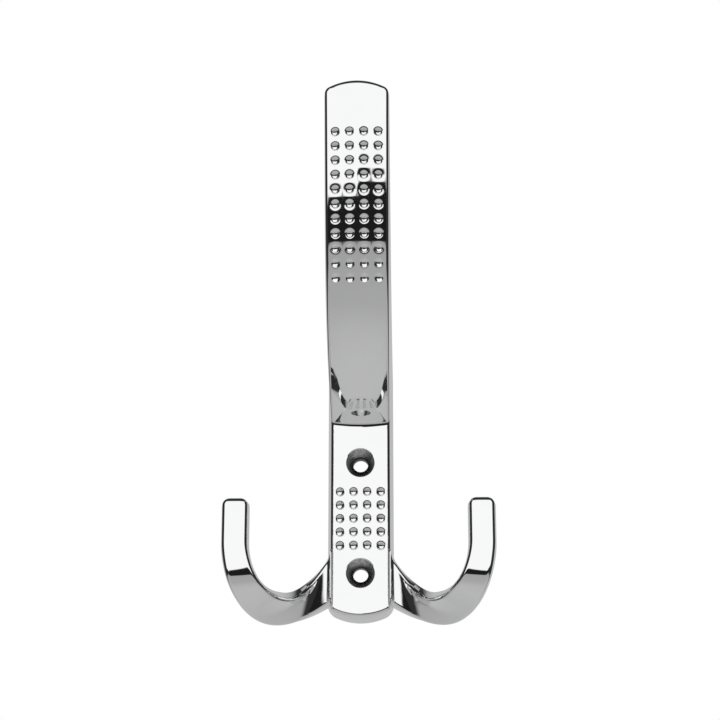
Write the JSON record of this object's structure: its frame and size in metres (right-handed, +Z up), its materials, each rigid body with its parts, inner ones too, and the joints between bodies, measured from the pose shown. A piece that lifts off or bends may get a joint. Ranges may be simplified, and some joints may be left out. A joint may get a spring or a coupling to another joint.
{
  "type": "wall coat hook",
  "caption": "Chrome wall coat hook: a dimpled wall plate with countersunk screw holes, a broad dimpled upper prong leaning out, and a J-shaped hook on each side.",
  "frame": {"origin": "on the back of the wall plate, in the wall's plane, midway between the two screw holes", "axes": "+Z up the wall, -Y out of the wall into the room, +X to the right as seen from the room"},
  "size_m": [0.076, 0.0516, 0.1478],
  "materials": {
    "chrome_plating": "polished bright chrome plating over a cast body, duller inside the countersinks"
  },
  "bodies": {
    "root": {"wall_plate": "chrome_plating", "upper_prong": "chrome_plating", "left_hook": "chrome_plating", "right_hook": "chrome_plating"}
  },
  "joints": []
}
